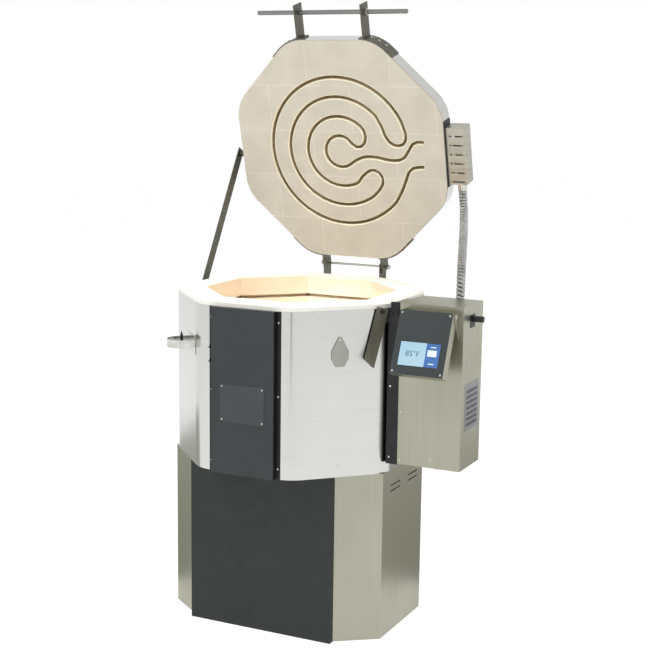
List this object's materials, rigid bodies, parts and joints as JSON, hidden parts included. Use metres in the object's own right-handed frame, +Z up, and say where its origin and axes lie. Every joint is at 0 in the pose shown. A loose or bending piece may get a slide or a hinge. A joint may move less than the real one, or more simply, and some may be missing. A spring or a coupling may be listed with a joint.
{
  "type": "top-loading bead annealing kiln",
  "caption": "Octagonal electric top-loading kiln on a sheet metal stand, lid open on a rear hinge, tilting touch-screen controller on a side box.",
  "frame": {"origin": "floor level, on the vertical axis of the firing chamber", "axes": "+Z up, -Y the front where the element cover is, +X the side with the control box"},
  "size_m": [1.0792, 0.8574, 2.0088],
  "materials": {
    "stainless_bright": "bright-annealed stainless sheet with soft vertical reflections",
    "stainless_satin": "brushed stainless sheet, warm grey, fine horizontal grain",
    "charcoal_paint": "charcoal textured powder coat",
    "olive_steel": "dark olive-grey coated strap steel",
    "black_paint": "black powder coat",
    "firebrick": "soft insulating firebrick, peach to cream, porous",
    "lid_firebrick": "insulating firebrick, beige grey, fired",
    "ceramic_fibre": "white ceramic fibre blanket",
    "element_wire": "oxidised resistance wire, dark olive brown",
    "ceramic_white": "fired white ceramic",
    "zinc": "bright zinc-plated steel",
    "bar_steel": "ground steel bar",
    "cover_steel": "satin stainless plate",
    "plate_dark": "dark grey enamel plate, bare",
    "label_grey": "matt anodised plate, bare",
    "faceplate_dark": "dark grey fine-textured faceplate",
    "screen": "lit pale blue touch screen",
    "black_plastic": "moulded black plastic",
    "board_dark": "dark moulded relay housings",
    "conduit_steel": "galvanised flexible steel conduit"
  },
  "bodies": {
    "kiln": {"stand_left_wrap": "stainless_satin", "stand_right_wrap": "stainless_satin", "stand_front_panel": "charcoal_paint", "stand_back_panel": "stainless_satin", "stand_top_plate": "stainless_satin", "floor_pan": "stainless_bright", "floor_brick": "firebrick", "wall_bricks": "firebrick", "fibre_blanket": "ceramic_fibre", "side_elements": "element_wire", "jacket_left": "stainless_bright", "jacket_right": "stainless_bright", "jacket_seam_strip": "stainless_bright", "jacket_screws": "zinc", "front_cover": "charcoal_paint", "cover_screws": "zinc", "blank_plate": "plate_dark", "element_terminals": "ceramic_white", "peephole_rivet": "zinc", "thermocouple": "ceramic_white", "side_handle": "zinc", "side_handle_hook": "black_paint", "channel_front": "black_paint", "channel_rear": "black_paint", "prop_bracket": "black_paint", "prop_bolt": "black_paint", "hinge_brackets": "olive_steel", "hinge_rod": "zinc", "conduit": "conduit_steel", "conduit_elbow": "zinc", "support_guide": "olive_steel", "control_box": "stainless_satin", "control_box_back": "stainless_satin", "control_box_screws": "zinc", "relay_board": "board_dark", "power_terminals": "black_plastic", "cable_gland": "black_plastic", "switch_plate": "black_plastic", "data_plate": "label_grey", "controller_bracket": "stainless_satin"},
    "lid": {"lid_brick": "lid_firebrick", "lid_band": "stainless_bright", "lid_band_clamp": "black_paint", "lid_element": "element_wire", "lid_hinge_straps": "olive_steel", "handle_arms": "olive_steel", "handle_bar": "bar_steel", "lid_screws": "zinc", "junction_box": "stainless_satin", "junction_mount": "black_paint", "junction_terminals": "ceramic_white", "conduit_connector": "zinc", "support_bar_lug": "olive_steel"},
    "support_bar": {"support_bar": "olive_steel"},
    "peephole_cover": {"peephole_cover": "cover_steel"},
    "lid_prop": {"lid_prop": "olive_steel"},
    "controller": {"controller_case": "stainless_satin", "controller_faceplate": "faceplate_dark", "controller_screen": "screen"},
    "switch_knob": {"switch_knob": "black_plastic"}
  },
  "joints": [
    {"name": "lid_hinge", "type": "hinge", "parent": "kiln", "child": "lid", "pos_m": [0, 0.4238, 1.1132], "axis": [1, 0, 0], "range_deg": [0, 75], "deforming": ["conduit"]},
    {"name": "support_bar_pivot", "type": "hinge", "parent": "lid", "child": "support_bar", "pos_m": [-0.4097, 0.31714, 1.4946], "axis": [1, 0, 0], "range_deg": [-46, 0.5]},
    {"name": "peephole_cover_pivot", "type": "hinge", "parent": "kiln", "child": "peephole_cover", "pos_m": [0.27316, -0.26891, 0.9772], "axis": [0.7071, -0.7071, 0], "range_deg": [-55, 110]},
    {"name": "lid_prop_pivot", "type": "hinge", "parent": "kiln", "child": "lid_prop", "pos_m": [0.37074, -0.17982, 1.0582], "axis": [0.7071, -0.7071, 0], "range_deg": [-160, 10]},
    {"name": "controller_tilt", "type": "hinge", "parent": "kiln", "child": "controller", "pos_m": [0.52485, -0.184, 1.062], "axis": [1, 0, 0], "range_deg": [-20, 18]},
    {"name": "switch_turn", "type": "hinge", "parent": "kiln", "child": "switch_knob", "pos_m": [0.6266, -0.078, 1.044], "axis": [1, 0, 0], "range_deg": [0, 90]}
  ],
  "couplings": [
    {"joint": "support_bar_pivot", "follows": "lid_hinge", "ratio": -0.6067}
  ]
}
